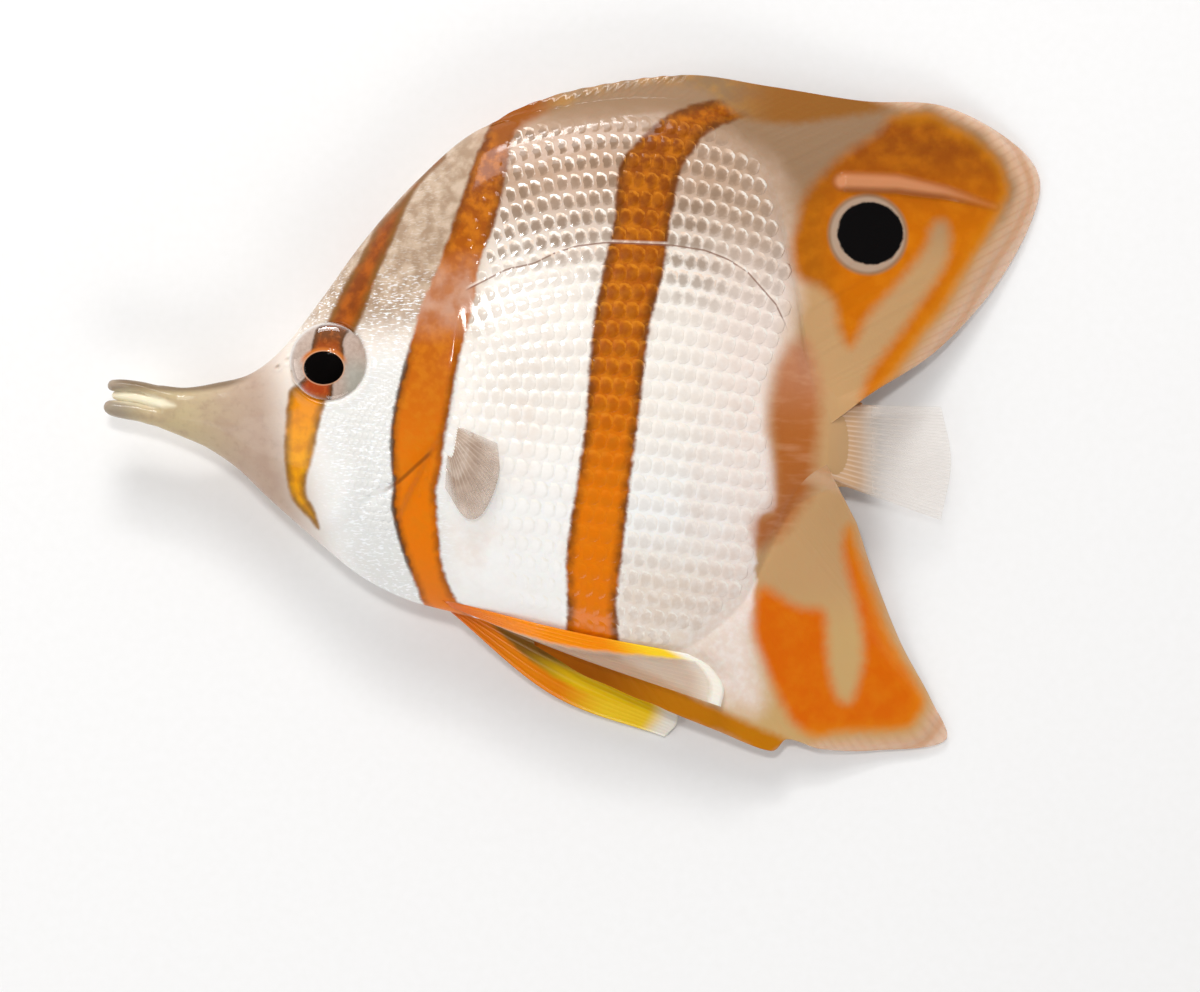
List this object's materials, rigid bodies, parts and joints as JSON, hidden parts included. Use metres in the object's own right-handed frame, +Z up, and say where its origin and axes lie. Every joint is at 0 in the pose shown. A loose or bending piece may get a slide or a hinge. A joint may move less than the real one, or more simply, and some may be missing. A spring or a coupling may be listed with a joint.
{
  "type": "copperband butterflyfish",
  "caption": "Life-size copperband butterflyfish lying on its right side: tall thin body, long tube snout, sail-like dorsal and anal fins.",
  "frame": {"origin": "on the surface that the fish lies on, under the middle of its bounding box", "axes": "+X from the snout to the tail, +Y from the belly to the back, +Z up from the surface, from the right flank to the left"},
  "size_m": [0.0813, 0.0588, 0.0116],
  "materials": {
    "silver_skin": "wet silver scales with copper bars",
    "snout_skin": "wet bare skin",
    "copper_fin": "wet scaled fin, orange bands, clear margin",
    "clear_fin": "wet clear membrane on pale rays",
    "eye": "polished, black pupil in a dark copper iris"
  },
  "bodies": {
    "root": {"head": "silver_skin", "trunk": "silver_skin", "tail": "silver_skin", "upper_jaw": "snout_skin", "lower_jaw": "snout_skin", "eye_left": "eye", "eye_right": "eye", "dorsal_fin": "copper_fin", "anal_fin": "copper_fin", "caudal_fin": "clear_fin", "pectoral_fin_left": "clear_fin", "pectoral_fin_right": "clear_fin", "pelvic_fin_left": "copper_fin", "pelvic_fin_right": "copper_fin"}
  },
  "joints": []
}
